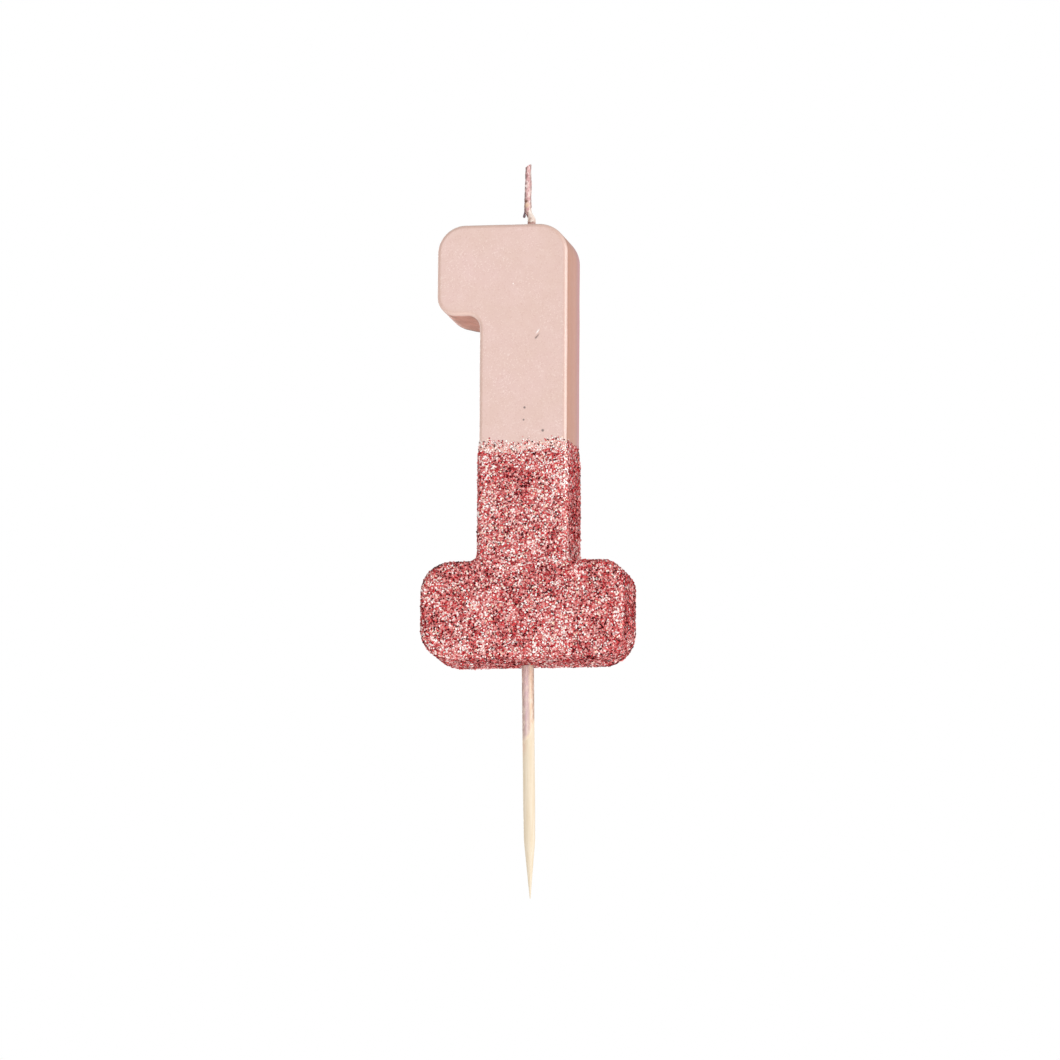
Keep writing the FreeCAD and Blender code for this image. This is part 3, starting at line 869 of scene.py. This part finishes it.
# In the band under the line they are smaller, and either pale or very dark.
band = smoothstep(-below, -2.6, -0.6)
clump += on_front * band * np.where(rng.random(count) < 0.22, -0.75, 0.27)
size *= 1 - 0.25 * band
# One patch on the stem is crimson.
clump -= 0.25 * on_front * np.exp(-(((x + 1.7) / 1.3) ** 2 + ((z - 31.9) / 1.2) ** 2))
finish = rng.random(count)
on_rim = np.abs(normal[:, 1]) < 0.5
size *= np.where(on_rim, 1.4, 1)
# On the rim the flakes are mostly crimson to rose, and darkest on the base's right end; this darker
# mix is partly painted shade.
clump -= 0.1 * on_rim * smoothstep(x, 16, 18)
finish = np.where(on_rim, 0.07 + 0.68 * finish + 0.6 * clump, finish + clump)
finish += np.where(on_rim & (rng.random(count) < 0.09), 0.4, 0)
finish = np.clip(finish, 0, 0.9999)
# None of them may reach over the pick's hole in the sole.
clear = (np.hypot(spot[:, 0], spot[:, 1]) - size > SOCKET - 0.02) | (z > 1)
edge = 0.0
for name, (share, colour, gloss, roughness) in FLAKES.items():
    mine = (finish >= edge) & (finish < edge + share) & clear
    edge += share
    piece = flake_mesh(f"flakes_{name}", middle[mine], tilted[mine], size[mine])
    fit(piece, "candle", "glitter", flake_material(name, colour, gloss, roughness))


# -------------------------------------------------------------------------- the pick
pick_low, pick_high = node_box("wooden_pick")
POINT, TAPER, SHOULDER, TIP = 9.9, 7.1, 0.965, 0.06
PICK_LEAN = math.radians(0.84)


def pick_radius(z):
    """The pick's radius at a height: a straight shank, a slow taper and a point each end."""
    end = np.minimum(z - pick_low[2], pick_high[2] - z)
    return np.interp(end, [0, POINT, POINT + TAPER], [TIP, SHOULDER, SHANK])


def lean_of(z):
    """How far right the pick has wandered at a height below the candle, 0.84 degrees in all."""
    return math.tan(PICK_LEAN) * np.maximum(-z - 1.5, 0)


def wood_surface(z):
    """The wood's own radius round the pick, with the flats and waves that turning leaves."""
    facets = 0.02 * noise_at(circle * 1.3 + np.outer(z, [0, 0, 0.035]), 1, 21)
    wander = 0.01 * noise_at(circle * 3 + np.outer(z, [0, 0, 0.3]), 1, 22)
    return pick_radius(z) * (1 - (0.012 + facets + wander).clip(0, 0.03))


heights = np.unique(np.concatenate([
    np.linspace(pick_low[2], pick_low[2] + 1, 8),
    np.arange(pick_low[2] + 1, pick_high[2] - 1, 0.4),
    np.linspace(pick_high[2] - 1, pick_high[2], 8),
]))
rings = []
for z in heights:
    rings.append(circle * wood_surface(np.full(SIDES, z))[:, None] + [0, 0, z])
    rings[-1][:, 0] += lean_of(z)
wood = close_tube("pick_wood", np.array(rings))
# The lacquer has crept a little way down the grain on the left, below its edge.
lacquer_low, lacquer_high = node_box("pick_lacquer")
creep = lacquer_low[2] - 2.6
wood_points = np.vstack(rings)
soaked = smoothstep(wood_points[:, 2], creep, creep + 2.4) * smoothstep(-wood_points[:, 0], -0.3, 0.5)
add_attribute(wood, "stain", soaked)
fit(wood, "pick", "pick_wood", wood_material(), "wooden_pick")

# The lacquer on the pick is a thin sleeve with a ragged lower edge, highest at the right.
left, right = lacquer_low[2] - 0.6, lacquer_low[2] + 3.4
foot = (left + right) / 2 + (right - left) / 2 * np.cos(turns)
ragged = [noise.noise(Vector(p) * 1.7 + Vector((3, 1, 4))) for p in circle]
foot = np.maximum(foot + 1.3 * np.array(ragged), lacquer_low[2])
shares = np.concatenate([[0, 0.004, 0.012, 0.03], np.linspace(0.06, 1, 40)])
outer, inner = [], []
for share in shares:
    z = foot + (lacquer_high[2] - foot) * share
    film = PICK_SKIN * (0.25 + 0.75 * min(1, share / 0.05))
    under = wood_surface(z)
    outer.append(circle * (under + film)[:, None] + np.outer(z, [0, 0, 1]))
    inner.append(circle * (under - 0.03)[:, None] + np.outer(z, [0, 0, 1]))
    for row in (outer[-1], inner[-1]):
        row[:, 0] += lean_of(z)
paint = close_tube("pick_paint", np.array(outer), np.array(inner))
up_wall = np.repeat(np.concatenate([shares, shares[::-1]]), SIDES)
height = np.vstack(outer + inner[::-1])[:, 2]
add_attribute(paint, "thin", 0.8 * smoothstep(-up_wall, -0.1, 0.0))
# around: how far round towards the right, which the paint turns into painted shade and a painted
# highlight
add_attribute(paint, "around", 0.5 + 0.5 * np.tile(np.sin(turns + math.radians(80)), 2 * len(shares)))
# shade: painted shade at the pick's top, where it goes into the candle
add_attribute(paint, "shade", smoothstep(height, -0.9, 0.1))
fit(paint, "pick", "pearl_lacquer", pick_paint_material(), "pick_lacquer")


# -------------------------------------------------------------------------- the wick
LINE_POINTS, SMOOTHING = 260, 25


def foot_at(height):
    """The middle of the wick's foot at a height."""
    return WICK_FOOT * [1, 1, 0] + [0, 0, height]


def wick_line():
    """Points up the middle of the wick, from inside the collar to the tip, directions, and
    how far along each is."""
    rise = (WICK_FOOT[0] - WICK_STAND) / math.tan(WICK_LEAN)
    knee = np.array([WICK_STAND, 0, WICK_HINGE + rise])
    tip = [WICK_STAND + 0.04, 0, WICK_TIP]
    keys = np.array([foot_at(WICK_START - 0.3), foot_at(WICK_HINGE), knee, knee + [0.0, 0, 3], tip])
    far = np.concatenate([[0], np.cumsum(np.linalg.norm(np.diff(keys, axis=0), axis=1))])
    along = np.linspace(0, far[-1], LINE_POINTS)
    line = np.stack([np.interp(along, far, keys[:, i]) for i in range(3)], axis=1)
    kernel = np.hanning(SMOOTHING) / np.hanning(SMOOTHING).sum()
    reach = np.arange(1, SMOOTHING // 2 + 1)[:, None]
    before = line[:1] - reach[::-1] * (line[1] - line[0])
    after = line[-1:] + reach * (line[-1] - line[-2])
    padded = np.vstack([before, line, after])
    line = np.stack([np.convolve(padded[:, i], kernel, "valid") for i in range(3)], axis=1)
    ahead = np.gradient(line, axis=0)
    return line, ahead / np.linalg.norm(ahead, axis=1, keepdims=True), along


BRAID_PITCH, GROOVE = 2.9, 0.09
SLOPE = math.tan(math.radians(25))  # of the cut end


def braid(turn, along):
    """How high the worn braid stands, from 0 in a groove to 1 on a strand's crown."""
    around = np.stack([np.cos(turn), np.sin(turn), along * 0.5], axis=1)
    warp = 2.2 * noise_at(around, 1.0, 35)
    a = np.cos(turn + along * 2 * math.pi / BRAID_PITCH + warp) ** 2
    b = np.cos(turn - along * 2 * math.pi / BRAID_PITCH + 0.9 - warp) ** 2
    edge_highlight = 0.5 + 0.5 * noise_at(around, 0.7, 36)
    return 1 - (1 - np.maximum(a, b)) * np.clip(edge_highlight * 1.6, 0.15, 1)


def wick_tube(low, extra=0.0, hollow=0.0):
    """Rings round the wick's line, lumpy like the braid, from a lower height, which may be
    one for each side, to the slanting tip. extra is how far a sleeve stands out and hollow
    how thick its wall is. Gives the outer and the inner rings, how deep each point is in a
    groove, and its place were the wick straight."""
    line, ahead, along = wick_line()
    side = np.array([0.0, 1.0, 0.0])
    rim_x, rim_y = np.cos(turns), np.sin(turns)
    low = np.broadcast_to(low, SIDES)
    bands = np.linspace(0, 1, 150)
    # how high the rod's own slanting tip is on each side
    top = WICK_TIP + extra * 0.4 - SLOPE * WICK_RADIUS * (1 - rim_x)
    outer, inner, grooves, straight = [], [], [], []
    for share in bands:
        height = low + (top - low) * share
        spot = np.stack([np.interp(height, line[:, 2], line[:, i]) for i in range(3)], axis=1)
        forward = np.stack([np.interp(height, line[:, 2], ahead[:, i]) for i in range(3)], axis=1)
        far = np.interp(height, line[:, 2], along)
        across = np.cross(side, forward)
        rim = rim_x[:, None] * across + rim_y[:, None] * side
        rim[:, 2] = 0
        high = braid(turns, far)
        around = np.stack([rim_x, rim_y, far * 0.6], axis=1)
        lumps = 0.075 * noise_at(around, 0.9, 31) + 0.03 * noise_at(around, 0.35, 32)
        narrow = 0.14 * smoothstep(height, WICK_TIP - 5, WICK_TIP)
        swell = 0.13 * smoothstep(-height, -WICK_START - 3.6, -WICK_START - 0.9)
        radius = WICK_RADIUS - 0.05 + extra + swell - GROOVE * (1 - high) + lumps - narrow
        outer.append(spot + rim * radius[:, None])
        inner.append(spot + rim * (radius - hollow)[:, None])
        grooves.append(1 - high)
        straight.append(np.stack([rim_x * radius, rim_y * radius, far], axis=1))
    return np.array(outer), np.array(inner), np.array(grooves), np.array(straight)


DROP_LOW = node_box("wick_lacquer")[0][2]
PAINT_START = DROP_LOW + 0.85
outer, _, grooves, straight = wick_tube(WICK_START - 0.15)
cotton = close_tube("wick_braid", outer)
# groove: how deep a point lies in the braid, which both wick materials darken as painted shade
add_attribute(cotton, "groove", grooves.ravel())
add_attribute(cotton, "line", straight.reshape(-1, 3))
give(cotton, cotton_material())
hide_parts("exposed_wick")
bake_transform(cotton)

# The sleeve of lacquer reaches further down on the left than on the right.
ragged = 0.25 * noise_at(circle, 0.9, 33)
sleeve_foot = PAINT_START - 0.8 + 0.85 * (1 + np.cos(turns)) + ragged
outer, inner, grooves, straight = wick_tube(sleeve_foot, 0.04, 0.07)
sleeve = close_tube("wick_paint", outer, inner)
add_attribute(sleeve, "groove", np.concatenate([grooves, grooves[::-1]]).ravel())
straight = np.concatenate([straight, straight[::-1]]).reshape(-1, 3)
add_attribute(sleeve, "line", straight)
flat = np.concatenate([outer, inner[::-1]]).reshape(-1, 3)
across = straight[:, 0] / np.hypot(straight[:, 0], straight[:, 1])
patchy = 0.7 + 1.1 * noise_at(straight, 0.5, 37)
# the sleeve's left and right sides, which its paint darkens as painted shade
add_attribute(sleeve, "left", np.clip(1.4 * smoothstep(-across, 0.1, 0.6) * patchy, 0, 1))
add_attribute(sleeve, "right", np.clip(1.2 * smoothstep(across, 0.55, 0.85) * patchy, 0, 1))
# Two spots on the front of the sleeve: strength, x, height over its start, width, height.
for name, strength, x, up, wide, high in (
    ("stain", 1.2, -0.25, 1.95, 0.34, 0.17),
    ("amber", 1.1, -0.05, 1.25, 0.36, 0.42),
):
    across, rise = flat[:, 0] - (WICK_STAND + x), flat[:, 2] - (PAINT_START + up)
    spot = np.exp(-((across / wide) ** 2 + (rise / high) ** 2)) * (flat[:, 1] < 0)
    add_attribute(sleeve, name, np.clip(strength * spot, 0, 1))
fit(sleeve, "wick", "pearl_lacquer", wick_paint_material(), "wick_lacquer")

# The drop that ran down the left side and set there: its radius at heights over its foot.
rise = [0, 0.05, 0.14, 0.28, 0.42, 0.6, 0.85, 1.2, 1.6]
girth = [0.05, 0.15, 0.21, 0.24, 0.23, 0.19, 0.16, 0.13, 0.04]
drop_rows = []
for up in np.concatenate([np.linspace(0, 0.6, 14), np.linspace(0.66, 1.6, 12)]):
    lumps = 0.12 * noise_at(circle + [0, 0, up * 2], 1, 38)
    radius = np.interp(up, rise, girth) * (1 + lumps)
    x = WICK_STAND - WICK_RADIUS + 0.1 - 0.12 * smoothstep(-up, -1.3, -0.1)
    drop_rows.append(np.array([x, 0, DROP_LOW + up]) + circle * radius[:, None])
drop = close_tube("wick_drop", np.array(drop_rows))
fit(drop, "wick", "pearl_lacquer", drop_material())

# The cone of lacquer round the wick's foot.
rows_out, rows_in = [], []
for share in np.linspace(0, 1, 22):
    z = COLLAR_LOW[2] + 0.02 + (COLLAR_HIGH[2] - COLLAR_LOW[2] - 0.02) * share
    lumps = 0.04 * noise_at(circle + [0, 0, z], 0.8, 39)
    radius = WICK_RADIUS + 0.07 + 0.14 * (1 - share) ** 2 + lumps
    rows_out.append(circle * np.minimum(radius, 0.84)[:, None] + [WICK_FOOT[0], 0, z])
    rows_in.append(circle * (WICK_RADIUS - 0.02) + [WICK_FOOT[0], 0, z])
collar = close_tube("wick_collar_skin", np.array(rows_out), np.array(rows_in))
fit(collar, "candle", "pearl_lacquer", collar_material(), "wick_collar")

# ------------------------------------------------------- what the CAD nodes already are
give(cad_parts["wax_numeral"], wax_material())
give(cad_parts["buried_wick"], cotton_material())

# -------------------------------------------------------------- camera, floor and light
scene = bpy.context.scene
AZIMUTH, ELEVATION, ROLL, DISTANCE = 9.7, -8.7, 0.27, 1.4
SENSOR, LENS = 36, 279.7
TARGET = Vector((0.25, 0, 22.9)) * MM


def towards(azimuth, elevation):
    """The direction out of the object at an azimuth from the front, positive to the right."""
    a, e = math.radians(azimuth), math.radians(elevation)
    return Vector((math.sin(a) * math.cos(e), -math.cos(a) * math.cos(e), math.sin(e)))


camera = bpy.data.objects.new("camera", bpy.data.cameras.new("camera"))
scene.collection.objects.link(camera)
back = towards(AZIMUTH, ELEVATION)
camera.location = TARGET + back * DISTANCE
camera.rotation_mode = "QUATERNION"
roll = Quaternion((0, 0, 1), math.radians(ROLL))
camera.rotation_quaternion = (-back).to_track_quat("-Z", "Y") @ roll
camera.data.sensor_width, camera.data.lens = SENSOR, LENS
camera.data.clip_start, camera.data.clip_end = 0.05, 50
scene.camera = camera

bpy.ops.mesh.primitive_plane_add(size=12, location=(0, 0, -1.6))
floor = bpy.context.object
floor.name = "floor"
paper = Nodes("pale_floor", Roughness=0.8, Emission_Color=(1.0, 1.0, 1.0), Emission_Strength=0.45)
paper.link(paper.ramp(paper.noise(paper.place(), 60, 2), (0.3, 0.9), (0.7, 0.93)), "Base Color")
give(floor, paper.material)


def lamp(name, azimuth, elevation, distance, width, height, watts, colour=(1, 1, 1)):
    """A soft box that faces the candle."""
    light = bpy.data.lights.new(name, "AREA")
    light.shape, light.size, light.size_y = "RECTANGLE", width, height
    light.energy, light.color = watts, colour
    body = bpy.data.objects.new(name, light)
    scene.collection.objects.link(body)
    out = towards(azimuth, elevation)
    body.location = TARGET + out * distance
    body.rotation_mode = "QUATERNION"
    body.rotation_quaternion = out.to_track_quat("Z", "Y")


lamp("front_box", -14, 16, 1.3, 0.8, 0.8, 4.5)
lamp("right_strip", 58, 6, 1.1, 0.1, 0.9, 3)
lamp("right_fill", 85, 5, 1.2, 0.9, 0.9, 4.9)
lamp("back_box", -150, 16, 1.3, 0.8, 0.8, 4)
lamp("low_fill", 10, -60, 0.3, 0.4, 0.4, 0.2)

world = bpy.data.worlds.new("white_room")
scene.world = world
world.use_nodes = True
nodes, links = world.node_tree.nodes, world.node_tree.links
room = nodes["Background"]
room.inputs["Color"].default_value = (1, 1, 1, 1)
room.inputs["Strength"].default_value = 0.52
backdrop = nodes.new("ShaderNodeBackground")
backdrop.inputs["Color"].default_value = (1, 1, 1, 1)
mixer, path = nodes.new("ShaderNodeMixShader"), nodes.new("ShaderNodeLightPath")
links.new(path.outputs["Is Camera Ray"], mixer.inputs["Fac"])
links.new(room.outputs[0], mixer.inputs[1])
links.new(backdrop.outputs[0], mixer.inputs[2])
links.new(mixer.outputs[0], nodes["World Output"].inputs["Surface"])
scene.view_settings.view_transform = "Standard"

bpy.context.view_layer.update()
